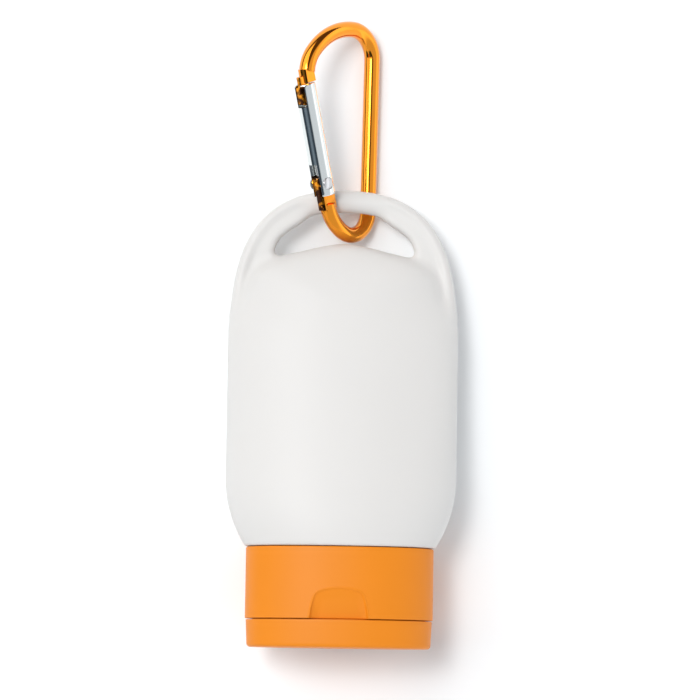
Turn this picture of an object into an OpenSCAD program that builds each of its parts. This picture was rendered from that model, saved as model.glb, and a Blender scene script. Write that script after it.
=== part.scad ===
// Flat flip-top squeeze bottle with an integral hang loop, lying on its back
// with a small sprung carabiner threaded through the loop.
// Millimetres. X is across the bottle, Y runs from the cap to the carabiner,
// +Z is up, out of the bottle's front. Z = 0 is the surface it all lies on.

/* [Bottle] */
// height of bottle and cap, from the lid's outer face to the top of the loop
total_h = 104.4; // [95:0.1:115]
// half of the widest part of the bottle
half_w = 26.2; // [22:0.1:30]
// half of the depth that the straight back would have at the cap end
half_d = 13.25; // [11:0.05:16]
// taper of the front and back towards the loop, in degrees
taper = 5.25; // [0:0.05:8]
// wall thickness
wall = 1.0; // [0.6:0.1:2]
// height of the crown of the filled part, under the loop
dome_h = 92.1; // [85:0.1:96]
// roundness of the oval section, 2 is an ellipse
oval_n = 2.3; // [2:0.05:3]

/* [Hang loop] */
// height of the loop bar's centre line
rim_h = 101.8; // [95:0.1:110]
// width of the loop bar at its top, seen from the front
rim_w = 5.2; // [3:0.1:8]
// how much wider the band is at the shoulders
rim_more = 2.0; // [0:0.1:4]
// thickness of the band, front to back
rim_t = 4.4; // [3:0.1:8]

/* [Cap] */
// half width of the cap's lower shell
cap_a = 21.3; // [18:0.1:26]
// half depth of the cap's lower shell
cap_b = 12.9; // [10:0.1:16]
// height of the cap's edge against the bottle
cap_h = 22.6; // [18:0.1:28]
// height of the parting line's lid side
lid_h = 6.2; // [4:0.1:9]
// gap at the parting line
part_gap = 0.25; // [0.1:0.05:0.6]
// wall of the cap and lid
cap_wall = 1.2; // [0.8:0.1:2]
// radius of the dispensing orifice
orifice_r = 1.75; // [1:0.05:3]
// radius of the bottle's neck, outside
neck_r = 9.0; // [7:0.1:11]

/* [Thumb recess] */
// width at the parting line
thumb_w = 13.3; // [8:0.1:18]
// height to the top of the arch
thumb_h = 6.8; // [4:0.1:10]
// depth of the recess
thumb_d = 1.3; // [0.5:0.1:2]

/* [Carabiner] */
// rod diameter
rod_d = 3.65; // [2.5:0.05:5]
// gate diameter
gate_d = 4.8; // [3.5:0.05:6]
// length of the gate
gate_l = 25.9; // [20:0.1:30]
// lean of the gate from the spine, in degrees
gate_lean = 16.6; // [10:0.1:20]
// tilt of the carabiner's plane about its spine, in degrees
clip_tilt = 45; // [40:0.5:60]
// turn of the carabiner on the table, in degrees
clip_yaw = -0.7; // [-5:0.1:5]

/* [Gate mechanism] */
// hinge pin radius
pin_r = 0.65; // [0.4:0.05:1]
// hinge pin's distance from the gate's lower end
pin_s = 2.8; // [2:0.1:4]
// hinge pin's offset outwards from the gate's axis
pin_o = 0.5; // [0:0.1:1]
// thickness of the body's hinge tongue
tongue_t = 2.4; // [1.5:0.1:3]
// length of the fork's slot
fork_l = 7.5; // [6:0.1:9]
// eccentricity of the tongue's cam
cam_e = 0.8; // [0.3:0.1:1]
// radius of the tongue's cam
cam_r = 1.7; // [1.2:0.1:2]
// width of the nose's T head
head_w = 2.7; // [2:0.1:3.2]
// thickness of the nose's neck
neck_t = 1.2; // [0.8:0.1:1.6]

/* [Hidden] */
$fn = 64;
eps = 0.01;
rod_r = rod_d / 2;
gate_r = gate_d / 2;
lid_a = cap_a - 0.2;
lid_b = cap_b - 0.2;
base_h = lid_h + part_gap;          // lower edge of the cap's lower shell
hinge_h = lid_h + part_gap / 2;     // living hinge axis, along the bottle
land_y = cap_b - 0.5;               // flat land at the back for the hinge webs
hinge_y = land_y + 0.2;             // living hinge axis, behind the centre plane
sn = sin(taper);
cs = cos(taper);
rim_z = half_d * cs - (rim_h - 30) * sn;   // loop bar over the table
rim_y = 30.567;                             // loop bar along Y
spine_x = 5.6;                             // spine of the carabiner along X
clip_y = rim_y + 29.92;                    // the carabiner's own origin along Y
// the carabiner's arcs: right top, crown, left top, right bottom, left bottom
top_r = 6.6;  top_v = 9.6;
crown_r = 16; crown_a = 141.4;
nose_r = 7.7; nose_a = 186.5;
low_r = 5.45; low_v = -37.45; low_a = 23;
left_r = 9.9;
crown_c = [-top_r, top_v - crown_r];
nose_c = crown_c + (crown_r - nose_r) * [cos(crown_a), sin(crown_a)];
low_c = [-low_r, low_v + low_r];
left_c = low_c + (low_r - left_r) * [cos(-90 - low_a), sin(-90 - low_a)];
left_end = left_c + left_r * [-cos(gate_lean), -sin(gate_lean)];
gate_at = [-14.02, -28.67];                // lower end of the gate, on its axis
shoulder_s = -2.35;                        // where the hinge tongue's flats start
plunger_s = pin_s + cam_r + 0.03;
plunger_l = 5;
bore_end = 17;

// ---------- shared shapes ----------

function sgn_pow(v, e) = sign(v) * pow(abs(v), e);
function oval_pts(a, b, n = oval_n, N = 48) =
    [for (i = [0 : N - 1]) let (t = 360 * i / N) [a * sgn_pow(cos(t), 2 / n), b * sgn_pow(sin(t), 2 / n)]];
function smooth(t) = let (u = min(1, max(0, t))) u * u * (3 - 2 * u);

// closed solid through a stack of ovals [half width, half depth, height]
module loft(rings, n = oval_n, N = 48) {
    pts = [for (r = rings) for (p = oval_pts(r[0], r[1], n, N)) [p[0], p[1], r[2]]];
    M = len(rings);
    faces = concat(
        [[for (i = [0 : N - 1]) i]],
        [for (k = [0 : M - 2]) for (i = [0 : N - 1]) let (j = (i + 1) % N)
            [k * N + i, (k + 1) * N + i, (k + 1) * N + j]],
        [for (k = [0 : M - 2]) for (i = [0 : N - 1]) let (j = (i + 1) % N)
            [k * N + i, (k + 1) * N + j, k * N + j]],
        [[for (i = [N - 1 : -1 : 0]) (M - 1) * N + i]]);
    polyhedron(points = pts, faces = faces, convexity = 6);
}

module oval_prism(a, b, z0, z1) {
    translate([0, 0, z0]) linear_extrude(z1 - z0) polygon(oval_pts(a, b));
}

// bottle standing on its lid, front towards -Y, to where it lies
module lie() {
    translate([0, rim_y, rim_z]) rotate([-taper, 0, 0]) translate([0, -rim_h, 0]) rotate([-90, 0, 0]) children();
}

// carabiner in its own plane to where it lies
module clip() {
    translate([spine_x, clip_y, rod_r]) rotate([0, clip_tilt, clip_yaw]) children();
}

// gate frame: origin at the gate's lower end, +Y along the gate, +X inwards
module at_gate() {
    translate([gate_at[0], gate_at[1], 0]) rotate([0, 0, gate_lean]) children();
}

// ---------- bottle ----------

// outline: half width at a height
top_s = total_h - 56;
function out_a(h) =
    h > 56 ? half_w * pow(max(0, 1 - pow((h - 56) / top_s, 4)), 1 / 2.4)
  : h < 38.5 ? half_w - (29 - sqrt(29 * 29 - pow(38.5 - h, 2)))
  : half_w;
// half width of the filled part: under the loop it steps in to leave a flange
function flange(h) = 2.9 * smooth((h - 71) / 7) + 0.08 * max(0, h - 78);
function crown_x(h) = pow(max(0.0001, dome_h - h) / 0.082, 1 / 1.4);
function fill_a(h) =
    let (x = crown_x(h), y = max(0.5, out_a(h) - flange(h))) pow(pow(x, -20) + pow(y, -20), -1 / 20);
// half depth of the filled part
function line_d(h) = half_d - (h - 30) * sn / cs;
function fill_b(h) =
    (line_d(h) - (h < 33 ? 0.0097 * pow(33 - h, 2) : 0))
    * (h > 76 ? pow(max(0, 1 - pow((h - 76) / (dome_h - 76), 2.2)), 1 / 1.9) : 1);

fill_heights = [22.7, 24, 26, 29.5, 33.5, 38.5, 47, 56, 64, 71, 73, 75.5, 78, 81, 84, 86.5, 88.5, 90, 91.2, dome_h - 0.12];

// centre line of the loop band: outline point, moved in by half the band's width
function outline(t) = [half_w * sgn_pow(sin(t), 2 / 2.4), 56 + top_s * pow(max(0, cos(t)), 0.5)];
function band_w(t) = rim_w + rim_more * smooth(abs(t) / 58);
function band_dir(t) = let (d = outline(t + 0.4) - outline(t - 0.4)) atan2(d[1], d[0]);
function band_at(t) = let (a = band_dir(t), o = outline(t)) [o[0] + sin(a) * band_w(t) / 2, o[1] - cos(a) * band_w(t) / 2];

module band_bit(t) {
    m = band_at(t);
    translate([m[0], 0, m[1]]) rotate([0, -band_dir(t), 0])
        scale([0.3, rim_t / 2, band_w(t) / 2]) sphere(1, $fn = 12);
}

module band() {
    st = [for (i = [-20 : 20]) i * 4.2];
    for (i = [0 : len(st) - 2]) hull() { band_bit(st[i]); band_bit(st[i + 1]); }
}

// web that closes the pointed ends of the loop hole
module hole_end(s) {
    translate([0, 2.0, 0]) rotate([90, 0, 0]) linear_extrude(4.0)
        polygon([for (p = [[11.6, 88.6], [12.6, 89.15], [13.8, 89.3], [15.0, 89.5], [15.9, 90.1], [16.3, 91.0],
                           [18.5, 92.2], [20.5, 86], [10, 86]]) [s * p[0], p[1]]]);
}

module bottle_body() color([0.93, 0.93, 0.92]) lie() union() {
    difference() {
        union() {
            loft([for (h = fill_heights) [fill_a(h), fill_b(h), h]], N = 40);
            band();
            hole_end(1);
            hole_end(-1);
            // step that sits inside the cap's skirt
            oval_prism(cap_a - cap_wall - 0.15, cap_b - cap_wall - 0.6, 20.6, 23.2);
            // round neck with its snap bead
            translate([0, 0, 9]) cylinder(r = neck_r, h = 12, $fn = 40);
            translate([0, 0, 11.9]) cylinder(r1 = neck_r, r2 = neck_r + 0.4, h = 0.5, $fn = 40);
            translate([0, 0, 12.4]) cylinder(r = neck_r + 0.4, h = 0.5, $fn = 40);
            translate([0, 0, 12.9]) cylinder(r1 = neck_r + 0.4, r2 = neck_r, h = 0.5, $fn = 40);
        }
        // inside
        loft([for (h = [22.4, 23.6, 25, 27, 29.5, 33, 38.5, 44, 50, 56, 62, 67, 71, 74, 77, 80, 83, 85.5, 87.3, 88.6,
                        89.6, 90.3, 90.8])
              let (g = h < 24 ? 1.8 : 0)
              [max(0.6, fill_a(h + 0.9) - wall - g), max(0.4, fill_b(max(22.7, h + 0.9)) - wall - g), h]], N = 32);
        translate([0, 0, 8.9]) cylinder(r = neck_r - 1.2, h = 14, $fn = 40);
    }
}

// ---------- cap ----------

// front outline of the thumb recess
module thumb_outline() {
    w = thumb_w / 2; t = thumb_h;
    polygon([[-w, -1], [-w, 0.15], [-w * 0.835, t * 0.73], [-w * 0.77, t * 0.83], [-w * 0.62, t * 0.915],
             [-w * 0.42, t * 0.97], [-w * 0.2, t * 0.995], [0, t], [w * 0.2, t * 0.995], [w * 0.42, t * 0.97],
             [w * 0.62, t * 0.915], [w * 0.77, t * 0.83], [w * 0.835, t * 0.73], [w, 0.15], [w, -1]]);
}

module front_cut(depth, grow = 0) {
    translate([0, -cap_b + depth, base_h]) rotate([90, 0, 0]) linear_extrude(8)
        scale([1 + grow, 1 + grow]) thumb_outline();
}

module hinge_land(z0, z1) {
    translate([-7.4, land_y, z0]) cube([14.8, 3, z1 - z0]);
}

module cap_base() color([0.97, 0.58, 0.19]) lie() {
    difference() {
        union() {
            // skirt
            difference() {
                oval_prism(cap_a, cap_b, base_h, cap_h);
                oval_prism(cap_a - cap_wall, cap_b - cap_wall, base_h + 1.4, cap_h + 1);
            }
            // raised land that locates the lid
            oval_prism(lid_a - cap_wall - 0.35, lid_b - cap_wall - 0.35, base_h - 0.9, base_h + 0.5);
            // wall behind the thumb recess
            intersection() {
                oval_prism(cap_a - 0.5, cap_b - 0.5, base_h + 0.5, cap_h - 6);
                translate([-8.2, -cap_b + thumb_d + 1.1 - 1.4, base_h]) cube([16.4, 1.4, 8.4]);
            }
            // spout
            translate([0, 0, 3.3]) cylinder(r = 3, h = 5);
            // collar that snaps over the neck
            difference() {
                translate([0, 0, base_h + 1]) cylinder(r = neck_r + 1.35, h = 19.6 - base_h - 1);
                translate([0, 0, base_h + 1.4]) cylinder(r = neck_r + 0.15, h = 20);
                translate([0, 0, 11.7]) cylinder(r = neck_r + 0.6, h = 1.9);
            }
            // sealing ring inside the neck
            difference() {
                translate([0, 0, base_h + 1]) cylinder(r = neck_r - 1.3, h = 3.6);
                translate([0, 0, base_h + 1.4]) cylinder(r = neck_r - 2.2, h = 6);
            }
        }
        translate([0, 0, 2]) cylinder(r = orifice_r, h = 8);
        front_cut(thumb_d);
        hinge_land(base_h - 1, 10.6);
    }
}

module flip_lid() color([0.97, 0.57, 0.19]) lie() {
    difference() {
        oval_prism(lid_a, lid_b, 0, lid_h);
        oval_prism(lid_a - cap_wall, lid_b - cap_wall, 1.2, lid_h + 1);
        hinge_land(2.0, lid_h + 1);
    }
    // plug that closes the orifice
    translate([0, 0, 1]) cylinder(r = 2.5, h = 2.1);
    translate([0, 0, 3]) cylinder(r1 = orifice_r - 0.07, r2 = orifice_r - 0.42, h = 1.75);
    // ring around the spout
    translate([0, 0, 1]) difference() {
        cylinder(r = 4.6, h = 1.6);
        translate([0, 0, -1]) cylinder(r = 3.8, h = 4);
    }
}

// thin webs of the living hinge and its sprung centre strap, across the parting line at the back
module hinge_web(x0, x1) {
    translate([x0, land_y, hinge_h - 1.4]) cube([x1 - x0, 0.35, 2.8]);
}
module hinge_web_left() color([0.96, 0.56, 0.18]) lie() hinge_web(-6.8, -2.8);
module hinge_web_right() color([0.96, 0.56, 0.18]) lie() hinge_web(2.8, 6.8);
module hinge_strap() color([0.96, 0.56, 0.18]) lie()
    translate([-1.5, land_y, hinge_h - 3.1]) cube([3, 0.4, 6.2]);

// ---------- carabiner ----------

// bent rod: an arc of the centre line between two angles. The bends that join two
// others are 0.01 thinner and reach a little way into them
module rod_arc(c, r, a0, a1, less = 0) {
    translate([c[0], c[1], 0]) rotate([0, 0, a0]) rotate_extrude(angle = a1 - a0)
        translate([r, 0]) circle(rod_r - less);
}
module rod_line(p, q) {
    d = q - p;
    translate([p[0], p[1], 0]) rotate([0, 0, atan2(d[1], d[0])]) rotate([0, 90, 0]) cylinder(r = rod_r, h = norm(d));
}

// in the gate frame X is inwards, so outwards is -X
module tongue_2d() {
    translate([-pin_o + cam_e, pin_s]) circle(cam_r);
    translate([-pin_o, pin_s]) circle(rod_r - 0.25 - pin_o + 0.2);
    translate([-rod_r + 0.2, shoulder_s - 1]) square([2 * rod_r, pin_s - shoulder_s + 1]);
}

module carabiner_body() color([0.95, 0.6, 0.12]) clip() {
    // spine and bends
    rod_line([0, low_c[1]], [0, top_v - top_r]);
    rod_arc([-top_r, top_v - top_r], top_r, -2, 92, 0.01);
    rod_arc(crown_c, crown_r, 90, crown_a);
    rod_arc(low_c, low_r, -92 - low_a, 2, 0.01);
    rod_arc(left_c, left_r, -180 + gate_lean, -90 - low_a);
    // nose: the last of the bend, milled flat on both sides under its shoulder
    rod_arc(nose_c, nose_r, crown_a - 2, 179, 0.01);
    at_gate() intersection() {
        translate([1.15, gate_l + 0.15, 0]) rotate([-90, 0, 0]) cylinder(r = rod_r, h = 3.2);
        translate([-3, gate_l + 0.15, -1.3]) cube([8, 3.2, 2.6]);
    }
    // neck and T head, in the gate's slot
    at_gate() {
        translate([-1.75, gate_l - 0.5, -neck_t / 2]) cube([2.0, 2.3, neck_t]);
        translate([-1.75, 21.25, -head_w / 2]) cube([1.6, 4.15, head_w]);
    }
    // hinge tongue, milled flat on both sides above its shoulder
    at_gate() difference() {
        union() {
            translate([0, 0, -tongue_t / 2]) linear_extrude(tongue_t) intersection() {
                tongue_2d();
                translate([-rod_r + 0.2, -6]) square([2 * rod_r, 14]);
            }
            translate([0.2, shoulder_s - 0.5, 0]) rotate([90, 0, 0]) cylinder(r = rod_r, h = 0.1);
        }
        translate([-pin_o, pin_s, -3]) cylinder(r = pin_r + 0.05, h = 6);
    }
}

module carabiner_gate() color([0.83, 0.85, 0.86]) clip() at_gate() difference() {
    rotate([-90, 0, 0]) cylinder(r = gate_r, h = gate_l);
    // fork slot, right through
    translate([-4, -1, -tongue_t / 2 - 0.08]) cube([8, 1 + fork_l, tongue_t + 0.16]);
    // hinge pin hole and the seats of its heads
    translate([-pin_o, pin_s, -4]) cylinder(r = pin_r, h = 8);
    translate([-pin_o, pin_s, 2.1]) cylinder(r = 1.4, h = 2);
    translate([-pin_o, pin_s, -4.1]) cylinder(r = 1.4, h = 2);
    // bore for the spring and plunger
    translate([0, fork_l - 1, 0]) rotate([-90, 0, 0]) cylinder(r = 1.0, h = bore_end - fork_l + 1);
    // T slot for the nose
    translate([-4, 20.8, -head_w / 2 - 0.15]) cube([4.1, 4.75, head_w + 0.3]);
    translate([-4, 20.8, -neck_t / 2 - 0.15]) cube([4.5, 8, neck_t + 0.3]);
}

module gate_rivet() color([0.75, 0.76, 0.77]) clip() at_gate() translate([-pin_o, pin_s, 0]) {
    translate([0, 0, -2.2]) cylinder(r = pin_r, h = 4.4);
    for (s = [0, 1]) mirror([0, 0, s]) {
        translate([0, 0, 2.1]) cylinder(r = 1.4, h = 0.3);
        translate([0, 0, 2.4]) cylinder(r1 = 1.4, r2 = 0.9, h = 0.22);
    }
}

module spring_plunger() color([0.7, 0.71, 0.72]) clip() at_gate()
    translate([0, plunger_s, 0]) rotate([-90, 0, 0]) {
        cylinder(r = 0.95, h = plunger_l - 1);
        cylinder(r = 0.55, h = plunger_l);
    }

// coil with closed ends, as one swept wire
module gate_spring() color([0.7, 0.71, 0.72]) clip() at_gate() {
    s0 = plunger_s + plunger_l - 1 + 0.17;
    s1 = bore_end - 0.17;
    wr = 0.14; R = 0.78; turns = 9; seg = 14; K = 6;
    n = turns * seg;
    pts = [for (i = [0 : n]) let (t = i / n, a = 360 * turns * t,
            e = smooth(t / 0.14) * 0.5 * t + (1 - smooth(t / 0.14)) * 0.06 * t,
            y = s0 + (s1 - s0) * (t < 0.12 ? t * 0.55 : t > 0.88 ? 1 - (1 - t) * 0.55 : 0.066 + (t - 0.12) * 0.868 / 0.76))
        for (k = [0 : K - 1]) let (b = 360 * k / K, r = R + wr * cos(b)) [r * cos(a), y + wr * sin(b), r * sin(a)]];
    faces = concat(
        [[for (k = [K - 1 : -1 : 0]) k]],
        [for (i = [0 : n - 1]) for (k = [0 : K - 1]) let (j = (k + 1) % K) [i * K + k, i * K + j, (i + 1) * K + j]],
        [for (i = [0 : n - 1]) for (k = [0 : K - 1]) let (j = (k + 1) % K) [i * K + k, (i + 1) * K + j, (i + 1) * K + k]],
        [[for (k = [0 : K - 1]) n * K + k]]);
    polyhedron(points = pts, faces = faces, convexity = 10);
}

bottle_body();
cap_base();
flip_lid();
hinge_web_left();
hinge_web_right();
hinge_strap();
carabiner_body();
carabiner_gate();
gate_rivet();
gate_spring();
spring_plunger();
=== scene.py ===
"""Flat white squeeze bottle with an orange flip-top cap and a small sprung carabiner, on a white table."""
import math

import bpy
import numpy as np
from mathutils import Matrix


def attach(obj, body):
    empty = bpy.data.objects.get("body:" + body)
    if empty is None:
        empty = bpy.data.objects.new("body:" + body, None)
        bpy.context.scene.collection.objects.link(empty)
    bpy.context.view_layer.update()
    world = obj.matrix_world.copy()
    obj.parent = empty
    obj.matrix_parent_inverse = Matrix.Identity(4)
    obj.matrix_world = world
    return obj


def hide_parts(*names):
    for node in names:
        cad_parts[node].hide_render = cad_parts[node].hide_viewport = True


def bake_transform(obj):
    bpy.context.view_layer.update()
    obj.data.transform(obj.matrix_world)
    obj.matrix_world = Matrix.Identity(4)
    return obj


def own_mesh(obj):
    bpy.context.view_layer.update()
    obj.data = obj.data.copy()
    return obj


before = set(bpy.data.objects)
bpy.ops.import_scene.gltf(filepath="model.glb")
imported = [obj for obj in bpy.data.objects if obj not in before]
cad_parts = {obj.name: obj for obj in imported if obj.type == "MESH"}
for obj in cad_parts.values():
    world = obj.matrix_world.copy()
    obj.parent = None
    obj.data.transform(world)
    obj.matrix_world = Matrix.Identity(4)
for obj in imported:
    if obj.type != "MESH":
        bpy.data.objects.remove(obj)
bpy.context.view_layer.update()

# ---------------------------------------------------------------- frames (mm in, metres out)
ALPHA = math.radians(5.25)
CS, SN = math.cos(ALPHA), math.sin(ALPHA)
RIM_H, RIM_Y = 101.8, 30.567
RIM_Z = 13.25 * CS - (RIM_H - 30) * SN
ROD = 1.825


def lie(P):
    """Bottle standing on its lid (x across, y depth with the front at -y, h up) to where it lies."""
    P = np.asarray(P, float)
    x, y, h = P[..., 0], P[..., 1], P[..., 2]
    Y, Z = h - RIM_H, -y
    return np.stack([x, Y * CS + Z * SN + RIM_Y, -Y * SN + Z * CS + RIM_Z], -1) / 1000


def rot(axis, deg):
    a = math.radians(deg)
    k = np.array(axis, float) / np.linalg.norm(axis)
    K = np.array([[0, -k[2], k[1]], [k[2], 0, -k[0]], [-k[1], k[0], 0]])
    return np.eye(3) + math.sin(a) * K + (1 - math.cos(a)) * K @ K


M_CLIP = rot([0, 0, 1], -0.7) @ rot([0, 1, 0], 45)
O_CLIP = np.array([5.6, RIM_Y + 29.92, ROD])
LEAN = 16.6
M_GATE = M_CLIP @ rot([0, 0, 1], LEAN)
GATE_AT = np.array([-14.02, -28.67])
O_GATE = M_CLIP @ np.array([*GATE_AT, 0.0]) + O_CLIP


def clip(P):
    """Carabiner plane (u across with the gate at -u, v along, w normal) to the row frame."""
    return (np.asarray(P, float) @ M_CLIP.T + O_CLIP) / 1000


def gate(P):
    """Gate frame (x inwards, s along from the hinge end, w normal) to the row frame."""
    return (np.asarray(P, float) @ M_GATE.T + O_GATE) / 1000


# ---------------------------------------------------------------- mesh helpers
def add_object(name, verts, faces, mat, sharp=None):
    me = bpy.data.meshes.new(name)
    me.from_pydata(np.asarray(verts, float).tolist(), [], [list(map(int, f)) for f in faces])
    me.validate()
    me.update()
    me.polygons.foreach_set("use_smooth", np.ones(len(me.polygons), bool))
    if sharp is not None:
        me.set_sharp_from_angle(angle=math.radians(sharp))
    me.materials.append(mat)
    ob = bpy.data.objects.new(name, me)
    bpy.context.scene.collection.objects.link(ob)
    return ob


def skin(rings, start="fan", end="fan", loop=False, flip=False):
    """Closed surface through equal rings. Ends are fans round their middle point, or the stack closes on itself."""
    rings = [np.asarray(r, float) for r in rings]
    K, M = len(rings[0]), len(rings)
    V = np.concatenate(rings)
    F = []
    j = (np.arange(K) + 1) % K
    last = M if loop else M - 1
    for m in range(last):
        a, b = m * K, ((m + 1) % M) * K
        F += np.stack([a + np.arange(K), a + j, b + j, b + np.arange(K)], 1).tolist()
    if not loop:
        if start == "fan":
            V = np.vstack([V, rings[0].mean(0)])
            c = len(V) - 1
            F += [[c, int(j[i]), i] for i in range(K)]
        if end == "fan":
            V = np.vstack([V, rings[-1].mean(0)])
            c = len(V) - 1
            o = (M - 1) * K
            F += [[c, o + i, o + int(j[i])] for i in range(K)]
    if flip:
        F = [f[::-1] for f in F]
    return V, F


def fix_normals(ob):
    """Faces point outwards: the closed mesh's volume comes out positive."""
    me = ob.data
    me.calc_loop_triangles()
    V = np.array([v.co for v in me.vertices])
    T = np.array([t.vertices for t in me.loop_triangles])
    vol = np.einsum("ij,ij->i", V[T[:, 0]], np.cross(V[T[:, 1]], V[T[:, 2]])).sum()
    if vol < 0:
        me.flip_normals()
    return ob


def revolve(profile, n, place):
    """Closed turned solid: profile is [(radius, height), ...] round the h axis, first and last on it or a loop."""
    t = np.linspace(0, 2 * math.pi, n, endpoint=False)
    loop = profile[0][0] > 1e-6
    rings = [np.stack([r * np.cos(t), r * np.sin(t), np.full(n, h)], 1) for r, h in profile if loop or r > 1e-6]
    V, F = skin(rings, loop=loop)
    return place(V), F


def arc(cx, cy, r, a0, a1, n):
    a = np.radians(np.linspace(a0, a1, n))
    return [(cx + r * math.cos(t), cy + r * math.sin(t)) for t in a]


def smoothstep(t):
    t = np.clip(t, 0, 1)
    return t * t * (3 - 2 * t)


def smin(a, b, k):
    h = np.clip(0.5 + 0.5 * (b - a) / k, 0, 1)
    return b + (a - b) * h - k * h * (1 - h)


def smax(a, b, k):
    return -smin(-a, -b, k)


# ---------------------------------------------------------------- materials
def material(name, color, rough=0.45, metal=0.0, spec=0.5, coat=0.0, sss=0.0,
             grain=0.0, grain_scale=900.0, tone=0.0, tone_scale=30.0, rough_var=0.0, streak=None):
    m = bpy.data.materials.new(name)
    m.use_nodes = True
    nt = m.node_tree
    for n in list(nt.nodes):
        nt.nodes.remove(n)
    out = nt.nodes.new("ShaderNodeOutputMaterial")
    p = nt.nodes.new("ShaderNodeBsdfPrincipled")
    nt.links.new(p.outputs["BSDF"], out.inputs["Surface"])
    p.inputs["Base Color"].default_value = (*color, 1)
    p.inputs["Roughness"].default_value = rough
    p.inputs["Metallic"].default_value = metal
    p.inputs["Specular IOR Level"].default_value = spec
    p.inputs["Coat Weight"].default_value = coat
    p.inputs["Coat Roughness"].default_value = 0.12
    if sss:
        p.inputs["Subsurface Weight"].default_value = sss
        p.inputs["Subsurface Radius"].default_value = (1.0, 0.9, 0.8)
        p.inputs["Subsurface Scale"].default_value = 0.0012
    tc = nt.nodes.new("ShaderNodeTexCoord")
    if tone:
        no = nt.nodes.new("ShaderNodeTexNoise")
        no.inputs["Scale"].default_value = tone_scale
        no.inputs["Detail"].default_value = 3
        nt.links.new(tc.outputs["Object"], no.inputs["Vector"])
        ramp = nt.nodes.new("ShaderNodeMapRange")
        ramp.inputs["From Min"].default_value = 0.3
        ramp.inputs["From Max"].default_value = 0.7
        ramp.inputs["To Min"].default_value = 1 - tone
        ramp.inputs["To Max"].default_value = 1 + tone
        nt.links.new(no.outputs["Fac"], ramp.inputs["Value"])
        mul = nt.nodes.new("ShaderNodeVectorMath")
        mul.operation = "SCALE"
        mul.inputs[0].default_value = color
        nt.links.new(ramp.outputs["Result"], mul.inputs["Scale"])
        nt.links.new(mul.outputs["Vector"], p.inputs["Base Color"])
    if rough_var:
        no = nt.nodes.new("ShaderNodeTexNoise")
        no.inputs["Scale"].default_value = 160
        nt.links.new(tc.outputs["Object"], no.inputs["Vector"])
        mr = nt.nodes.new("ShaderNodeMapRange")
        mr.inputs["To Min"].default_value = rough - rough_var
        mr.inputs["To Max"].default_value = rough + rough_var
        nt.links.new(no.outputs["Fac"], mr.inputs["Value"])
        nt.links.new(mr.outputs["Result"], p.inputs["Roughness"])
    if grain:
        no = nt.nodes.new("ShaderNodeTexNoise")
        no.inputs["Scale"].default_value = grain_scale
        no.inputs["Detail"].default_value = 2
        vec = tc.outputs["Object"]
        if streak:
            mp = nt.nodes.new("ShaderNodeMapping")
            mp.inputs["Scale"].default_value = streak
            nt.links.new(vec, mp.inputs["Vector"])
            vec = mp.outputs["Vector"]
        nt.links.new(vec, no.inputs["Vector"])
        bu = nt.nodes.new("ShaderNodeBump")
        bu.inputs["Strength"].default_value = grain
        bu.inputs["Distance"].default_value = 0.00002
        nt.links.new(no.outputs["Fac"], bu.inputs["Height"])
        nt.links.new(bu.outputs["Normal"], p.inputs["Normal"])
    return m


HDPE = material("white_polyethylene", (0.695, 0.685, 0.668), rough=0.42, spec=0.3, sss=0.08,
                grain=0.25, grain_scale=700, tone=0.006, tone_scale=40)
ORANGE = material("orange_polypropylene", (0.79, 0.238, 0.008), rough=0.47, spec=0.26,
                  grain=0.35, grain_scale=1500, tone=0.015, tone_scale=60)
GOLD = material("orange_anodised_aluminium", (0.95, 0.315, 0.008), rough=0.09, metal=1.0, coat=0.5,
                grain=0.10, grain_scale=300, rough_var=0.03, tone=0.02, tone_scale=90)


def mottled(m, dark, bright, scale, lo, hi):
    """Break a metal's colour up into dark patches with bright flecks."""
    nt = m.node_tree
    p = nt.nodes["Principled BSDF"]
    for l in list(nt.links):
        if l.to_socket == p.inputs["Base Color"]:
            nt.links.remove(l)
    tc = nt.nodes.new("ShaderNodeTexCoord")
    no = nt.nodes.new("ShaderNodeTexNoise")
    no.inputs["Scale"].default_value, no.inputs["Detail"].default_value = scale, 4
    nt.links.new(tc.outputs["Object"], no.inputs["Vector"])
    cr = nt.nodes.new("ShaderNodeValToRGB")
    cr.color_ramp.elements[0].position, cr.color_ramp.elements[0].color = lo, (*dark, 1)
    cr.color_ramp.elements[1].position, cr.color_ramp.elements[1].color = hi, (*bright, 1)
    nt.links.new(no.outputs["Fac"], cr.inputs["Fac"])
    nt.links.new(cr.outputs["Color"], p.inputs["Base Color"])
    return m


PRESSED = mottled(material("anodised_pressed_ends", (0.3, 0.1, 0.01), rough=0.22, metal=1.0, grain=0.5,
                           grain_scale=1100, rough_var=0.05),
                  (0.045, 0.013, 0.004), (1.0, 0.36, 0.02), 560, 0.50, 0.64)
SILVER = material("polished_aluminium", (0.80, 0.83, 0.82), rough=0.12, metal=1.0,
                  grain=0.10, grain_scale=400, rough_var=0.03, tone=0.01)
STEEL = material("bright_steel", (0.62, 0.62, 0.63), rough=0.2, metal=1.0, grain=0.15, grain_scale=900,
                 rough_var=0.05)

# ---------------------------------------------------------------- bottle: one smooth skin
HALF_W, TOTAL_H, DOME_H, OVAL = 26.2, 104.4, 92.1, 2.3
TOP_S = TOTAL_H - 56


def out_a(h):
    up = HALF_W * np.power(np.clip(1 - np.power(np.clip((h - 56) / TOP_S, 0, 1), 4), 0, 1), 1 / 2.4)
    low = HALF_W - (29 - np.sqrt(np.clip(29 * 29 - np.square(np.clip(38.5 - h, 0, 28)), 0, None)))
    return np.where(h > 56, up, np.where(h < 38.5, low, HALF_W))


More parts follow.
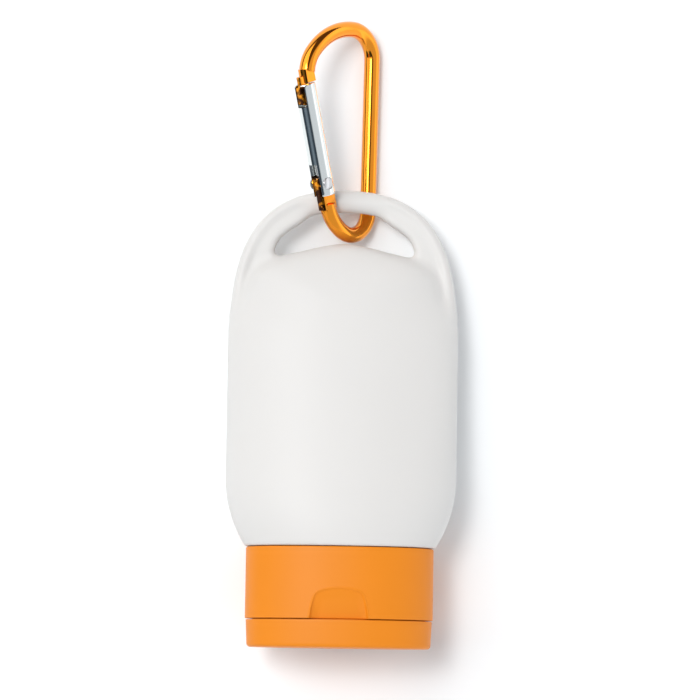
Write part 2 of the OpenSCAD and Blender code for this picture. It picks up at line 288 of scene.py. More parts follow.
def pillow(x, y, h):
    """Below zero inside the filled part."""
    flange = 2.9 * smoothstep((h - 71) / 10) + 0.08 * np.clip(h - 78, 0, None)
    a = np.clip(out_a(h) - flange, 1.0, None)
    B = 13.25 - (h - 30) * SN / CS - 0.0097 * np.square(np.clip(33 - h, 0, None))
    top = DOME_H - 0.082 * (np.power(x * x + 4, 0.7) - math.pow(4, 0.7))
    u = np.clip((h - 76) / (top - 76), 0, 3)
    r = np.power(np.power(np.abs(x) / a, 8) + np.power(u, 8), 1 / 8)
    return np.power(np.power(r, OVAL) + np.power(np.abs(y) / B, OVAL), 1 / OVAL) - 1


def pillow_d(x, y, h, e=0.08):
    g = pillow(x, y, h)
    gx = (pillow(x + e, y, h) - pillow(x - e, y, h)) / (2 * e)
    gy = (pillow(x, y + e, h) - pillow(x, y - e, h)) / (2 * e)
    gh = (pillow(x, y, h + e) - pillow(x, y, h - e)) / (2 * e)
    return g / np.maximum(np.sqrt(gx * gx + gy * gy + gh * gh), 0.02)


# distance inwards from the outline, on a grid that is read with a smooth interpolation
GX, GH, GD = 30.0, (18.0, 108.0), 0.5
gx = np.arange(-GX, GX + GD, GD)
gh = np.arange(GH[0], GH[1] + GD, GD)
tt = np.linspace(0, math.pi / 2, 1600) ** 1.0
ox = HALF_W * np.power(np.sin(tt), 0.833)
oh = 56 + TOP_S * np.power(np.clip(np.cos(tt), 0, 1), 0.5)
line = [(x, h) for x, h in zip(ox, oh)] + [(float(out_a(np.array(h))), h) for h in np.arange(55.9, 15, -0.1)]
line = np.array(line)
line = np.vstack([line[::-1] * [-1, 1], line])
seg_a, seg_b = line[:-1], line[1:]
sd = seg_b - seg_a
sl = np.maximum((sd ** 2).sum(1), 1e-12)
P2 = np.stack(np.meshgrid(gx, gh, indexing="ij"), -1).reshape(-1, 2)
D2 = np.empty(len(P2))
for i in range(0, len(P2), 1500):
    q = P2[i:i + 1500, None, :] - seg_a[None]
    t = np.clip((q * sd[None]).sum(2) / sl[None], 0, 1)
    D2[i:i + 1500] = np.sqrt(((q - t[..., None] * sd[None]) ** 2).sum(2).min(1))
inside = (P2[:, 1] < TOTAL_H) & (np.abs(P2[:, 0]) < out_a(P2[:, 1]))
D2 = np.where(inside, D2, -D2).reshape(len(gx), len(gh))


def cubic(t):
    return np.stack([-0.5 * t + t * t - 0.5 * t ** 3, 1 - 2.5 * t * t + 1.5 * t ** 3,
                     0.5 * t + 2 * t * t - 1.5 * t ** 3, -0.5 * t * t + 0.5 * t ** 3])


def inward(x, h):
    fx = np.clip((x + GX) / GD, 1, len(gx) - 3)
    fh = np.clip((h - GH[0]) / GD, 1, len(gh) - 3)
    ix, ih = fx.astype(int), fh.astype(int)
    wx, wh = cubic(fx - ix), cubic(fh - ih)
    out = 0
    for i in range(4):
        for j in range(4):
            out = out + wx[i] * wh[j] * D2[ix + i - 1, ih + j - 1]
    return out


def hole_d(x, h):
    """Below zero in the loop's hole, seen from the front."""
    def I(x, h):
        return np.power(np.power(x * x + 0.09, 0.85) / 20.1 ** 1.7 + np.power(np.clip((h - 56) / 43.2, 0, 2), 6), 0.5)
    e = 0.1
    g = I(x, h) - 1
    dx = (I(x + e, h) - I(x - e, h)) / (2 * e)
    dh = (I(x, h + e) - I(x, h - e)) / (2 * e)
    q1 = g / np.maximum(np.hypot(dx, dh), 0.01)
    rho = 2.5
    a, b = q1 + rho, 88.5 - h + rho
    lens = np.minimum(np.maximum(a, b), 0) + np.hypot(np.maximum(a, 0), np.maximum(b, 0)) - rho
    return smax(lens, np.abs(x) - 16.3, 2.0)


def bottle_f(x, y, h, D=None, Q=None):
    D = inward(x, h) if D is None else D
    Q = hole_d(x, h) if Q is None else Q
    ay = np.sqrt(y * y + 1e-4)
    fp = pillow_d(x, y, h)
    low = smoothstep((76 - h) / 9)
    # raised bead along the loop's outer edge
    bead = (np.sqrt(np.square((D - 1.4) / 1.4) + np.square(ay / 2.2)) - 1) * 1.4 + 5 * low
    # flat bar and web, rounded at the hole
    tp = 1.45 + 0.5 * smoothstep((h - 83) / 10)
    rho = 1.3
    ein = np.maximum(-Q, 0.7 - D)
    ey = ay - tp
    qx, qy = ein + rho, ey + rho
    plate = np.minimum(np.maximum(qx, qy), 0) + np.sqrt(np.maximum(qx, 0) ** 2 + np.maximum(qy, 0) ** 2) - rho
    plate = plate + 5 * smoothstep((66 - h) / 5)
    f = smin(bead, plate, 0.7)
    # a plain rounded bar in the middle, where the carabiner turns
    bar = (np.sqrt(np.square((D - 2.55) / 2.55) + np.square(ay / 2.18)) - 1) * 2.3
    k = smoothstep((np.abs(x) - 6.6) / 4.5)
    f = np.where(h > 80, k * f + (1 - k) * bar, f)
    f = smin(np.maximum(fp, (h - 92.6) * 0.8), f, 2.4)
    return smax(f, 22.75 - h, 0.35)


def surface_net(F, xs, ys, zs):
    nx, ny, nz = F.shape
    ins = F < 0
    s = sum(ins[i:nx - 1 + i, j:ny - 1 + j, k:nz - 1 + k].astype(np.int8)
            for i in (0, 1) for j in (0, 1) for k in (0, 1))
    act = (s > 0) & (s < 8)
    cells = np.argwhere(act)
    idx = np.full(act.shape, -1, int)
    idx[act] = np.arange(len(cells))
    acc, cnt = np.zeros((len(cells), 3)), np.zeros(len(cells))
    corner = [(i, j, k) for i in (0, 1) for j in (0, 1) for k in (0, 1)]
    for a in corner:
        for b in corner:
            if a < b and sum(abs(p - q) for p, q in zip(a, b)) == 1:
                va = F[tuple((cells + a).T)]
                vb = F[tuple((cells + b).T)]
                m = (va < 0) != (vb < 0)
                t = va[m] / (va[m] - vb[m])
                acc[m] += np.array(a) + t[:, None] * (np.array(b) - np.array(a))
                cnt[m] += 1
    pos = cells + acc / cnt[:, None]
    V = np.stack([np.interp(pos[:, 0], np.arange(nx), xs), np.interp(pos[:, 1], np.arange(ny), ys),
                  np.interp(pos[:, 2], np.arange(nz), zs)], 1)
    faces = []
    for ax in range(3):
        u, v = [(1, 2), (2, 0), (0, 1)][ax]
        n0 = [slice(None)] * 3
        n1 = [slice(None)] * 3
        n0[ax], n1[ax] = slice(0, -1), slice(1, None)
        e = np.argwhere(ins[tuple(n0)] != ins[tuple(n1)])
        e = e[(e[:, u] > 0) & (e[:, v] > 0) & (e[:, u] < F.shape[u] - 1) & (e[:, v] < F.shape[v] - 1)]
        du, dv = np.eye(3, dtype=int)[u], np.eye(3, dtype=int)[v]
        A, B, C, Dd = (idx[tuple((e - du - dv).T)], idx[tuple((e - dv).T)], idx[tuple(e.T)], idx[tuple((e - du).T)])
        q = np.stack([A, B, C, Dd], 1)
        neg = ~ins[tuple(e.T)]
        q[neg] = q[neg][:, ::-1]
        faces.append(q)
    return V, np.concatenate(faces)


STEP = 0.5
xs = np.arange(-27.5, 27.51, STEP)
ys = np.arange(-14.75, 14.76, STEP)
hs = np.arange(21.6, 105.6, STEP)
XX, HH = np.meshgrid(xs, hs, indexing="ij")
D_, Q_ = inward(XX, HH), hole_d(XX, HH)
X3, Y3, H3 = np.meshgrid(xs, ys, hs, indexing="ij")
F3 = bottle_f(X3, Y3, H3, D_[:, None, :], Q_[:, None, :])
BV, BF = surface_net(F3, xs, ys, hs)
for _ in range(3):
    e = 0.05
    x, y, h = BV.T
    f = bottle_f(x, y, h)
    g = np.stack([(bottle_f(x + e, y, h) - bottle_f(x - e, y, h)) / (2 * e),
                  (bottle_f(x, y + e, h) - bottle_f(x, y - e, h)) / (2 * e),
                  (bottle_f(x, y, h + e) - bottle_f(x, y, h - e)) / (2 * e)], 1)
    n2 = np.maximum((g ** 2).sum(1), 0.05)
    BV = BV - np.clip(f / n2, -0.3, 0.3)[:, None] * g
BV[:, 0] = np.clip(BV[:, 0], -26.2, 26.2)
BV[:, 2] = np.minimum(BV[:, 2], 104.4)
W = lie(BV)
W[:, 2] = np.maximum(W[:, 2], 0.00001)
bottle = fix_normals(add_object("bottle_skin", W, BF, HDPE))
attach(bottle, "bottle")
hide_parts("bottle_body")

# neck with its snap bead, inside the cap
prof = [(7.8, 23.3), (7.8, 9.2), (8.0, 9.0), (8.8, 9.0), (9.0, 9.2), (9.0, 11.9), (9.4, 12.4), (9.4, 12.9), (9.0, 13.4),
        (9.0, 20.6), (9.0, 23.3)]
V, F = revolve(prof, 72, lie)
neck = fix_normals(add_object("bottle_neck", V, F, HDPE, 35))
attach(neck, "bottle")

# ---------------------------------------------------------------- cap
CAP_A, CAP_B, CAP_H, LID_H, GAP = 21.3, 12.9, 22.6, 6.2, 0.25
BASE_H = LID_H + GAP
LAND_Y = CAP_B - 0.5


def ring_angles():
    """Angles round the oval: close together at the front's middle and across the hinge's land at the back."""
    def angle_of(x):
        return np.arccos(np.clip(np.sign(x) * np.power(np.abs(x) / CAP_A, OVAL / 2), -1, 1))
    front = 2 * math.pi - angle_of(np.arange(-8.6, 8.61, 0.125))
    back = angle_of(np.concatenate([np.arange(8.0, 7.0, -0.1), np.arange(7.0, -7.01, -0.7), np.arange(-7.1, -8.01, -0.1)]))
    a_l, a_r = back[-1], back[0]
    left = np.linspace(a_l, front[0], 62)[1:-1]
    right = np.linspace(front[-1], 2 * math.pi + a_r, 62)[1:-1]
    return np.concatenate([back, left, front, right])


ANG = ring_angles()


def oval(a, b, h, ang=None):
    t = ANG if ang is None else ang
    c, s = np.cos(t), np.sin(t)
    return np.stack([a * np.sign(c) * np.abs(c) ** (2 / OVAL), b * np.sign(s) * np.abs(s) ** (2 / OVAL),
                     np.full(len(t), float(h))], 1)


def morph(a, b, r, h, k):
    """Between an oval and a circle, k = 0 to 1."""
    P = oval(a, b, h)
    t = np.arctan2(P[:, 1], P[:, 0])
    C = np.stack([r * np.cos(t), r * np.sin(t), np.full(len(t), float(h))], 1)
    return P * (1 - k) + C * k


# arch of the thumb recess
TW, TH, TD = 6.65, 6.8, 1.25
half = [(1.0, -2.0), (1.0, 0.0), (0.965, 0.22), (0.925, 0.42), (0.885, 0.58), (0.835, 0.73), (0.79, 0.80), (0.72, 0.862),
        (0.62, 0.908), (0.50, 0.942), (0.36, 0.968), (0.2, 0.988), (0.0, 0.995)]
arch = np.array([(x * TW, y * TH) for x, y in half] + [(-x * TW, y * TH) for x, y in half[-2::-1]])


def in_arch(x, h):
    """Distance inside the recess's outline, seen from the front."""
    P = np.stack([x, h - BASE_H], -1)
    A, Bp = arch[:-1], arch[1:]
    d = Bp - A
    q = P[:, None] - A[None]
    t = np.clip((q * d[None]).sum(2) / (d ** 2).sum(1)[None], 0, 1)
    dist = np.sqrt(((q - t[..., None] * d[None]) ** 2).sum(2).min(1))
    x0, y0 = P[:, 0], P[:, 1]
    ins = np.zeros(len(P), bool)
    n = len(arch)
    j = n - 1
    for i in range(n):
        xi, yi, xj, yj = *arch[i], *arch[j]
        with np.errstate(divide="ignore", invalid="ignore"):
            c = ((yi > y0) != (yj > y0)) & (x0 < (xj - xi) * (y0 - yi) / (yj - yi + 1e-12) + xi)
        ins ^= c
        j = i
    return np.where(ins, dist, -dist)


def carve(P, depth=TD, grow=0.0):
    P = P.copy()
    m = (P[:, 1] < 0) & (np.abs(P[:, 0]) < 9.5) & (P[:, 2] < BASE_H + 8.5)
    if m.any():
        e = in_arch(P[m, 0], P[m, 2]) + grow
        dish = 0.40 * smoothstep(e / 0.36) + 0.60 * (1 - np.square(1 - np.clip(e / 2.4, 0, 1)))
        floor = depth * (1 - 0.90 * np.clip((P[m, 2] - BASE_H) / TH, 0, 1))
        ridge = 0.13 * np.exp(-np.square((e + 0.15) / 0.17)) * (depth > 0) * smoothstep((P[m, 2] - BASE_H) / 0.3)
        P[m, 1] += floor * dish - ridge
    # flat land for the hinge webs at the back
    m = (P[:, 1] > LAND_Y) & (P[:, 2] < 10.7)
    if m.any():
        k = smoothstep((7.5 - np.abs(P[m, 0])) / 0.15) * smoothstep((10.65 - P[m, 2]) / 0.15)
        P[m, 1] += (LAND_Y - P[m, 1]) * k
    return P


def cap_ring(inset, h, depth=TD, grow=0.0):
    return carve(oval(CAP_A - inset, CAP_B - inset, h), depth, grow)


rings = []
LO = CAP_A - 0.2 - 1.2 - 0.35
LB = CAP_B - 0.2 - 1.2 - 0.35
# orifice, spout, top of the deck
rings += [morph(LO, LB, 1.75, 7.85, 1), morph(LO, LB, 1.75, 3.55, 1)]
rings += [morph(LO, LB, r, h, 1) for r, h in arc(2.0, 3.55, 0.25, 180, 270, 4)]
rings += [morph(LO, LB, r, h, 1) for r, h in arc(2.7, 3.6, 0.3, 270, 360, 5)]
rings += [morph(LO, LB, r, h, 1) for r, h in arc(3.3, 5.25, 0.3, 180, 90, 5)]
rings += [morph(LO, LB, 3.6, 5.55, 0.8), morph(LO - 0.2, LB - 0.2, 3.6, 5.55, 0)]
rings += [morph(LO, LB, 1, 5.6, 0), morph(LO, LB, 1, 6.35, 0)]
land = [oval(LO + 0.1, LB + 0.1, 6.45)]
rings += land
for inset, h in [(0.14, BASE_H), (0.06, BASE_H + 0.02), (0.0, BASE_H + 0.09)]:
    rings.append(cap_ring(inset, h))
for h in np.arange(BASE_H + 0.2, 14.3, 0.125):
    rings.append(cap_ring(0, h))
for h in np.linspace(14.6, 22.25, 9):
    rings.append(cap_ring(0, h))
rings += [cap_ring(0.35 - r, 22.25 + z) for r, z in [(0.35 * math.cos(a), 0.35 * math.sin(a))
                                                       for a in np.radians([15, 30, 45, 60, 75, 90])]]
rings += [cap_ring(0.95, 22.6), cap_ring(1.1, 22.45), cap_ring(1.2, 22.0), cap_ring(1.2, 17.0), cap_ring(2.9, 15.2, 0),
          cap_ring(2.9, 9.5, 0), cap_ring(2.9, 7.9, 0), morph(CAP_A - 3.2, CAP_B - 3.2, 4, 7.85, 0),
          morph(CAP_A - 3.2, CAP_B - 3.2, 4, 7.85, 0.85)]
V, F = skin(rings, loop=True)
cap = fix_normals(add_object("cap_shell", lie(V), F, ORANGE, 40))
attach(cap, "bottle")
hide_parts("cap_base")

# lid: outer face, rounded corner, wall and inside
LA, LBB = CAP_A - 0.2, CAP_B - 0.2


def lid_ring(inset, h):
    taper = 0.28 * (1 - h / LID_H)
    P = oval(LA - inset - taper, LBB - inset - taper, h)
    m = (P[:, 1] > LAND_Y) & (h > 2.0)
    if m.any():
        k = smoothstep((7.5 - np.abs(P[m, 0])) / 0.15) * float(smoothstep((h - 2.0) / 0.15))
        P[m, 1] += (LAND_Y - P[m, 1]) * k
    return P


R = 0.75
rings = [lid_ring(1.3, 0.0) * [k, k, 1] for k in (0.1, 0.4, 0.7, 0.9, 1.0)]
rings += [lid_ring(R - R * math.sin(a), R - R * math.cos(a)) for a in np.radians([0, 11, 22, 33, 45, 56, 67, 78, 90])]
rings += [lid_ring(0, h) for h in [1.2, 1.6, 1.95, 2.05, 2.2, 3.0, 4.0, 5.0, 5.6, LID_H - 0.14]]
rings += [lid_ring(0.04, LID_H - 0.04), lid_ring(0.14, LID_H), lid_ring(1.05, LID_H), lid_ring(1.2, LID_H - 0.15),
          lid_ring(1.2, 2.2), lid_ring(1.35, 1.4), lid_ring(1.9, 1.2)]
rings += [lid_ring(1.9, 1.2) * [k, k, 1] for k in (0.8, 0.45, 0.1)]
V, F = skin(rings)
lid = fix_normals(add_object("lid_shell", lie(V), F, ORANGE, 40))
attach(lid, "lid")
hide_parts("flip_lid")

prof = [(0, 0.9), (2.5, 0.9), (2.5, 2.9), (2.3, 3.1), (1.68, 3.12), (1.34, 4.55), (1.14, 4.75), (0, 4.75)]
V, F = revolve(prof, 64, lie)
plug = fix_normals(add_object("lid_plug", V, F, ORANGE, 40))
prof = [(3.8, 0.9), (4.6, 0.9), (4.6, 2.45), (4.45, 2.6), (3.95, 2.6), (3.8, 2.45)]
V, F = revolve(prof, 72, lie)
lid_ring_ob = fix_normals(add_object("lid_spout_ring", V, F, ORANGE, 40))
for o in (plug, lid_ring_ob):
    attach(o, "lid")


# living hinge: thin strips with rounded edges across the parting line
def strip(name, node, x0, x1, h0, h1, thick, waist):
    hc = (h0 + h1) / 2
    rings = []
    for h in np.linspace(h0, h1, 33):
        k = 1 - (1 - waist) * math.exp(-((h - hc) / 0.55) ** 2)
        t = thick * k
        e = 0.06
        end = 1 - 0.0 * h
        y0, y1 = LAND_Y + 0.005, LAND_Y + t
        ins = 0.12 * max(0, 1 - min(h - h0, h1 - h) / 0.15)
        y1 -= ins
        rings.append(np.array([(x0 + ins, y0, h), (x1 - ins, y0, h), (x1 - ins, y1 - e, h), (x1 - ins - e, y1, h),
                               (x0 + ins + e, y1, h), (x0 + ins, y1 - e, h)]))
    V, F = skin(rings)
    ob = fix_normals(add_object(name, lie(V), F, ORANGE, 40))
    t = lie(np.array([0, LAND_Y, hc - 0.9]))
    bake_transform(ob)
    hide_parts(node)
    return ob


HC = LID_H + GAP / 2
strip("web_left", "hinge_web_left", -6.8, -2.8, HC - 1.4, HC + 1.4, 0.35, 0.45)
strip("web_right", "hinge_web_right", 2.8, 6.8, HC - 1.4, HC + 1.4, 0.35, 0.45)
strip("strap", "hinge_strap", -1.5, 1.5, HC - 3.1, HC + 3.1, 0.4, 0.6)

# ---------------------------------------------------------------- carabiner body
TOP_R, TOP_V, CROWN_R, CROWN_A, NOSE_R = 6.6, 9.6, 16.0, 141.4, 7.7
LOW_R, LOW_V, LOW_A, LEFT_R = 5.45, -37.45, 23.0, 9.9
crown_c = np.array([-TOP_R, TOP_V - CROWN_R])
d_ = np.array([math.cos(math.radians(CROWN_A)), math.sin(math.radians(CROWN_A))])
nose_c = crown_c + (CROWN_R - NOSE_R) * d_
low_c = np.array([-LOW_R, LOW_V + LOW_R])
d_ = np.array([math.cos(math.radians(-90 - LOW_A)), math.sin(math.radians(-90 - LOW_A))])
left_c = low_c + (LOW_R - LEFT_R) * d_
SHOULDER, PIN_S, PIN_O, GATE_L, GATE_R = -2.35, 2.8, 0.5, 25.9, 2.4


def along(c, r, a0, a1, step=0.22):
    n = max(3, int(abs(math.radians(a1 - a0)) * r / step))
    a = np.radians(np.linspace(a0, a1, n + 1))
    sign = 1 if a1 > a0 else -1
    P = np.stack([c[0] + r * np.cos(a), c[1] + r * np.sin(a)], 1)
    T = sign * np.stack([-np.sin(a), np.cos(a)], 1)
    return P, T


def gate_uv(x, s):
    L = math.radians(LEAN)
    return GATE_AT + x * np.array([math.cos(L), math.sin(L)]) + s * np.array([-math.sin(L), math.cos(L)])


gd = np.array([-math.sin(math.radians(LEAN)), math.cos(math.radians(LEAN))])
segs = []
P, T = along(left_c, LEFT_R, -180 + LEAN, -90 - LOW_A)
end = P[0]
start = end + gd * (np.dot(gate_uv(0, SHOULDER) - end, gd))
n = 8
segs.append((np.stack([start + (end - start) * i / n for i in range(n)]), np.tile(-gd, (n, 1))))
segs.append((P, T))
segs.append(tuple(a[1:] for a in along(low_c, LOW_R, -90 - LOW_A, 0)))
sp = np.linspace(low_c[1], TOP_V - TOP_R, 60)[1:-1]
segs.append((np.stack([np.zeros(len(sp)), sp], 1), np.tile([0, 1.0], (len(sp), 1))))
segs.append(along([-TOP_R, TOP_V - TOP_R], TOP_R, 0, 90))
segs.append(tuple(a[1:] for a in along(crown_c, CROWN_R, 90, CROWN_A)))
segs.append(tuple(a[1:] for a in along(nose_c, NOSE_R, CROWN_A, 179)))
path = np.concatenate([s[0] for s in segs])
tang = np.concatenate([s[1] for s in segs])
NR = 48
phi = np.linspace(0, 2 * math.pi, NR, endpoint=False)


def tube_ring(p, t, r):
    n = np.array([t[1], -t[0]])
    return np.stack([p[0] + r * np.cos(phi) * n[0], p[1] + r * np.cos(phi) * n[1], r * np.sin(phi)], 1)


CH = 0.13
rings = [tube_ring(path[0], tang[0], ROD - CH), tube_ring(path[0] + tang[0] * CH, tang[0], ROD)]
rings += [tube_ring(p, t, ROD) for p, t in zip(path[1:-1], tang[1:-1])]
rings += [tube_ring(path[-1] - tang[-1] * CH, tang[-1], ROD), tube_ring(path[-1], tang[-1], ROD - CH)]
V, F = skin(rings)
rod = fix_normals(add_object("carabiner_rod", clip(V), F, GOLD, 32))
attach(rod, "carabiner")
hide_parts("carabiner_body")


def plate_solid(outline, half_t, bevel, place):
    """Flat solid with bevelled edges from a closed outline, counter-clockwise."""
    O = np.asarray(outline, float)
    nx, pv = np.roll(O, -1, 0), np.roll(O, 1, 0)
    t = nx - pv
    t /= np.maximum(np.linalg.norm(t, axis=1), 1e-9)[:, None]
    nrm = np.stack([t[:, 1], -t[:, 0]], 1)
    rings = []
    for z, i in [(-half_t, bevel), (-half_t + bevel * 0.35, bevel * 0.3), (-half_t + bevel, 0), (half_t - bevel, 0),
                 (half_t - bevel * 0.35, bevel * 0.3), (half_t, bevel)]:
        Q = O - nrm * i
        rings.append(np.c_[Q, np.full(len(Q), z)])
    V, F = skin(rings)
    return place(V), F


def rounded_rect(x0, x1, y0, y1, r, n=5):
    out = []
    for cx, cy, a in [(x1 - r, y0 + r, -90), (x1 - r, y1 - r, 0), (x0 + r, y1 - r, 90), (x0 + r, y0 + r, 180)]:
        out += arc(cx, cy, r, a, a + 90, n)
    return out


# hinge tongue with its cam, between two milled flats
o = [(-1.6, -3.3), (2.0, -3.3)]
o += [(2.0, y) for y in np.linspace(-3.0, 2.5, 12)]
o += arc(0.3, 2.8, 1.7, 2, 134.4, 22)
o += arc(-0.5, 2.8, 1.275, 107.8, 206, 14)[1:]
o += [(-1.62, y) for y in np.linspace(2.0, -3.0, 10)]
V, F = plate_solid(o, 1.2, 0.1, gate)
tongue = fix_normals(add_object("hinge_tongue", V, F, PRESSED, 40))



def two_finish(ob, flat, edge):
    """The faces across the carabiner's plane take one finish, the narrow pressed edges the other."""
    me = ob.data
    me.materials.clear()
    me.materials.append(flat)
    me.materials.append(edge)
    w = M_GATE[:, 2]
    for poly in me.polygons:
        poly.material_index = 0 if abs(float(np.dot(np.array(poly.normal), w))) > 0.6 else 1


two_finish(tongue, GOLD, PRESSED)

# nose: milled flat end of the rod, its neck and the T head
W2 = 1.3
xr = math.sqrt(ROD ** 2 - W2 ** 2)
cc = 1.15
o = []
o += [(cc + x, w) for x, w in arc(0, 0, ROD, -math.degrees(math.asin(W2 / ROD)), math.degrees(math.asin(W2 / ROD)), 12)]
o += [(cc + x, w) for x, w in arc(0, 0, ROD, 180 - math.degrees(math.asin(W2 / ROD)),
                                  180 + math.degrees(math.asin(W2 / ROD)), 12)]
o = np.array(o)
rings = []
for s, i in [(GATE_L + 0.15, 0.12), (GATE_L + 0.27, 0.0), (GATE_L + 3.35, 0.0)]:
    c = o.mean(0)
    k = 1 - i / 1.3
    rings.append(np.stack([(o[:, 0] - c[0]) * k + c[0], np.full(len(o), s), (o[:, 1] - c[1]) * k + c[1]], 1))
V, F = skin(rings)
nose = fix_normals(add_object("nose_flat", gate(V), F, GOLD, 40))


def box_piece(name, x0, x1, s0, s1, half_w, r, bevel, mat):
    V, F = plate_solid(rounded_rect(x0, x1, s0, s1, r), half_w, bevel, gate)
    return fix_normals(add_object(name, V, F, mat, 40))


neck_ob = box_piece("nose_neck", -1.72, 0.3, GATE_L - 0.8, GATE_L + 1.8, 0.6, 0.12, 0.06, PRESSED)
head = box_piece("nose_head", -1.75, -0.15, 21.25, 25.4, 1.35, 0.25, 0.14, PRESSED)
two_finish(neck_ob, GOLD, PRESSED)
for o_ in (tongue, nose, neck_ob, head):
    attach(o_, "carabiner")


# ---------------------------------------------------------------- gate
def along_gate(V):
    """Turned parts: (x, y, z) with z along the gate."""
    V = np.asarray(V, float)
    return gate(np.stack([V[:, 0], V[:, 2], V[:, 1]], 1))


prof = [(0, 0), (GATE_R - 0.22, 0)] + [(GATE_R - 0.22 + 0.22 * math.sin(a), 0.22 - 0.22 * math.cos(a))
                                         for a in np.radians([30, 60, 90])]
prof += [(GATE_R, z) for z in np.linspace(0.6, GATE_L - 0.6, 24)]
prof += [(GATE_R - 0.22 + 0.22 * math.cos(a), GATE_L - 0.22 + 0.22 * math.sin(a)) for a in np.radians([0, 30, 60, 90])]
prof += [(0, GATE_L)]
V, F = revolve(prof, 96, along_gate)
gate_ob = fix_normals(add_object("gate_tube", V, F, SILVER, 30))
cutters = []


def cut_box(x0, x1, s0, s1, w0, w1):
    V = np.array([(x, s, w) for x in (x0, x1) for s in (s0, s1) for w in (w0, w1)], float)
    F = [(0, 1, 3, 2), (4, 6, 7, 5), (0, 4, 5, 1), (2, 3, 7, 6), (0, 2, 6, 4), (1, 5, 7, 3)]
    cutters.append(fix_normals(add_object("cut", gate(V), F, SILVER)))


def cut_turned(prof, place):
    V, F = revolve(prof, 48, place)
    cutters.append(fix_normals(add_object("cut", V, F, SILVER)))


cut_box(-4, 4, -1, 7.5, -1.28, 1.28)
cut_box(-4, 0.1, 20.8, 25.55, -1.5, 1.5)
cut_box(-4, 0.5, 20.9, 28.8, -0.75, 0.75)
cut_turned([(0, 6.4), (1.0, 6.4), (1.0, 17), (0, 17)], along_gate)


def across_gate(V):
    V = np.asarray(V, float)
    return gate(V + np.array([-PIN_O, PIN_S, 0]))


cut_turned([(0, 2.1), (1.4, 2.1), (1.4, 4), (0, 4)], across_gate)
cut_turned([(0, -2.1), (1.4, -2.1), (1.4, -4), (0, -4)], across_gate)
for c in cutters:
    mod = gate_ob.modifiers.new("cut", "BOOLEAN")
    mod.operation, mod.solver, mod.object = "DIFFERENCE", "EXACT", c
bpy.context.view_layer.update()
dg = bpy.context.evaluated_depsgraph_get()
done = bpy.data.meshes.new_from_object(gate_ob.evaluated_get(dg))
gate_ob.modifiers.clear()
gate_ob.data = done
for c in cutters:
    bpy.data.objects.remove(c)
done.polygons.foreach_set("use_smooth", np.ones(len(done.polygons), bool))
done.set_sharp_from_angle(angle=math.radians(30))
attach(gate_ob, "gate")
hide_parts("carabiner_gate")

# rivet with low domed heads
dome = [(1.4 * math.cos(a), 2.22 + 0.34 * math.sin(a)) for a in np.radians(np.linspace(0, 80, 8))]
prof = [(0, -2.56)] + [(r, -z) for r, z in dome[::-1]] + [(1.4, -2.1), (0.65, -2.1), (0.65, 2.1), (1.4, 2.1)] + dome + [(0, 2.56)]
V, F = revolve(prof, 56, across_gate)
rivet = fix_normals(add_object("rivet", V, F, STEEL, 35))
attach(rivet, "gate")
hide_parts("gate_rivet")

# plunger and coil spring in the gate's bore
PL_S, PL_L, BORE_END = PIN_S + 1.7 + 0.03, 5.0, 17.0
prof = [(0, PL_S), (0.87, PL_S), (0.95, PL_S + 0.08), (0.95, PL_S + 3.92), (0.87, PL_S + 4), (0.55, PL_S + 4),
        (0.55, PL_S + 4.9), (0.45, PL_S + 5), (0, PL_S + 5)]
V, F = revolve(prof, 40, along_gate)
plunger = fix_normals(add_object("plunger", V, F, STEEL, 35))
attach(plunger, "plunger")
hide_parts("spring_plunger")

s0, s1 = PL_S + 4 + 0.17, BORE_END - 0.17
turns, seg, K = 9, 28, 10
n = turns * seg
rings = []
for i in range(n + 1):
    t = i / n
    a = 2 * math.pi * turns * t
    y = s0 + (s1 - s0) * (t * 0.55 if t < 0.12 else 1 - (1 - t) * 0.55 if t > 0.88 else 0.066 + (t - 0.12) * 0.868 / 0.76)
    b = np.linspace(0, 2 * math.pi, K, endpoint=False)
    r = 0.78 + 0.14 * np.cos(b)
    rings.append(np.stack([r * math.cos(a), np.full(K, y) + 0.14 * np.sin(b), r * math.sin(a)], 1))
V, F = skin(rings)
spring = fix_normals(add_object("coil", gate(V), F, STEEL))
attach(spring, "gate")
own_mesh(spring)
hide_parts("gate_spring")

# ---------------------------------------------------------------- table, light, camera
def table_material():
    m = material("white_table", (0.905, 0.925, 0.935), rough=0.95, spec=0.0, grain=0.05, grain_scale=200, tone=0.002)
    p = m.node_tree.nodes["Principled BSDF"]
    p.inputs["Emission Color"].default_value = (1, 1, 1, 1)
    p.inputs["Emission Strength"].default_value = 0.03
    return m


S = 3.0
V = [(-S, -S, 0), (S, -S, 0), (S, S, 0), (-S, S, 0)]
floor = add_object("table", V, [(0, 1, 2, 3)], table_material())

# the studio: a big softbox at the upper left with a brighter edge overhead, white walls on the right, a dark
# lower left. Bright fields are drawn by their direction from the table.
world = bpy.data.worlds.new("studio")
bpy.context.scene.world = world
world.use_nodes = True
wt = world.node_tree
bg = wt.nodes["Background"]
wc = wt.nodes.new("ShaderNodeTexCoord")
sep = wt.nodes.new("ShaderNodeSeparateXYZ")
wt.links.new(wc.outputs["Generated"], sep.inputs[0])
AX = {k: sep.outputs[k] for k in "XYZ"}


def calc(op, a, b=0.0, c=None):
    n = wt.nodes.new("ShaderNodeMath")
    n.operation = op
    for i, v in enumerate((a, b) if c is None else (a, b, c)):
        if isinstance(v, (int, float)):
            n.inputs[i].default_value = v
        else:
            wt.links.new(v, n.inputs[i])
    return n.outputs[0]


def ramp(v, lo, hi):
    n = wt.nodes.new("ShaderNodeMapRange")
    n.interpolation_type = "SMOOTHSTEP"
    n.inputs["From Min"].default_value, n.inputs["From Max"].default_value = lo, hi
    n.inputs["To Min"].default_value, n.inputs["To Max"].default_value = 0.0, 1.0
    wt.links.new(v, n.inputs["Value"])
    return n.outputs["Result"]


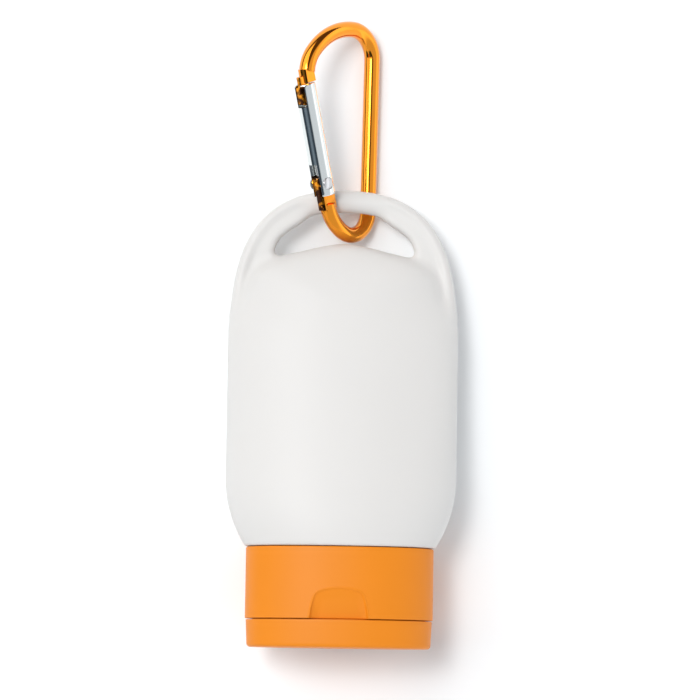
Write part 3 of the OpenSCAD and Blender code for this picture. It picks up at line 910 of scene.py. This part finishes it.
def times(*v):
    out = v[0]
    for w in v[1:]:
        out = calc("MULTIPLY", out, w)
    return out


def tint(v, color):
    n = wt.nodes.new("ShaderNodeVectorMath")
    n.operation = "SCALE"
    n.inputs[0].default_value = color
    wt.links.new(v, n.inputs["Scale"])
    return n.outputs["Vector"]


def plus(*v):
    out = v[0]
    for w in v[1:]:
        n = wt.nodes.new("ShaderNodeVectorMath")
        n.operation = "ADD"
        wt.links.new(out, n.inputs[0])
        wt.links.new(w, n.inputs[1])
        out = n.outputs["Vector"]
    return out


left = calc("MULTIPLY", AX["X"], -1.0)
panel = times(ramp(AX["Z"], 0.22, 0.34), ramp(left, -0.02, 0.03), ramp(AX["Y"], -0.14, -0.02))
right = ramp(calc("MULTIPLY_ADD", AX["Y"], -0.7, AX["X"]), 0.20, 0.30)
front = ramp(calc("MULTIPLY", AX["Y"], -1.0), 0.48, 0.62)
low = calc("SUBTRACT", 1.0, ramp(AX["Z"], 0.10, 0.5))
glow = times(ramp(left, 0.25, 0.6), calc("SUBTRACT", 1.0, ramp(left, 0.6, 0.9)))
one = calc("ADD", calc("MULTIPLY", AX["X"], 0.0), 1.0)
sky = plus(tint(one, (0.030, 0.045, 0.060)), tint(glow, (0.15, 0.18, 0.21)), tint(right, (0.68, 0.695, 0.71)),
           tint(times(right, low), (0.80, 0.81, 0.82)), tint(ramp(AX["Y"], -0.1, 0.25), (0.07, 0.035, 0.02)), tint(times(front, calc("SUBTRACT", 1.0, right)), (0.70, 0.70, 0.70)),
           tint(panel, (1.60, 1.59, 1.57)))
wt.links.new(sky, bg.inputs["Color"])
bg.inputs["Strength"].default_value = 1.0


def softbox(name, loc, target, size, size_y, power, color=(1, 1, 1)):
    L = bpy.data.lights.new(name, "AREA")
    L.shape = "RECTANGLE"
    L.size, L.size_y, L.energy, L.color = size, size_y, power, color
    ob = bpy.data.objects.new(name, L)
    ob.location = loc
    from mathutils import Vector
    ob.rotation_mode = "QUATERNION"
    ob.rotation_quaternion = (Vector(loc) - Vector(target)).to_track_quat("Z", "Y")
    bpy.context.scene.collection.objects.link(ob)
    return ob


softbox("key", (-0.45, 0.36, 1.50), (0, 0, 0), 0.45, 0.45, 10.0)

cam_data = bpy.data.cameras.new("camera")
cam_data.sensor_width = 36.0
cam_data.lens = 3726.8 / 700 * 36.0
cam_data.clip_start, cam_data.clip_end = 0.05, 10
cam = bpy.data.objects.new("camera", cam_data)
cam.location = (0.0016, -0.003243, 0.860)
cam.rotation_euler = (0, 0, math.radians(0.9))
bpy.context.scene.collection.objects.link(cam)
bpy.context.scene.camera = cam
bpy.context.scene.view_settings.view_transform = "Standard"
bpy.context.scene.view_settings.look = "None"
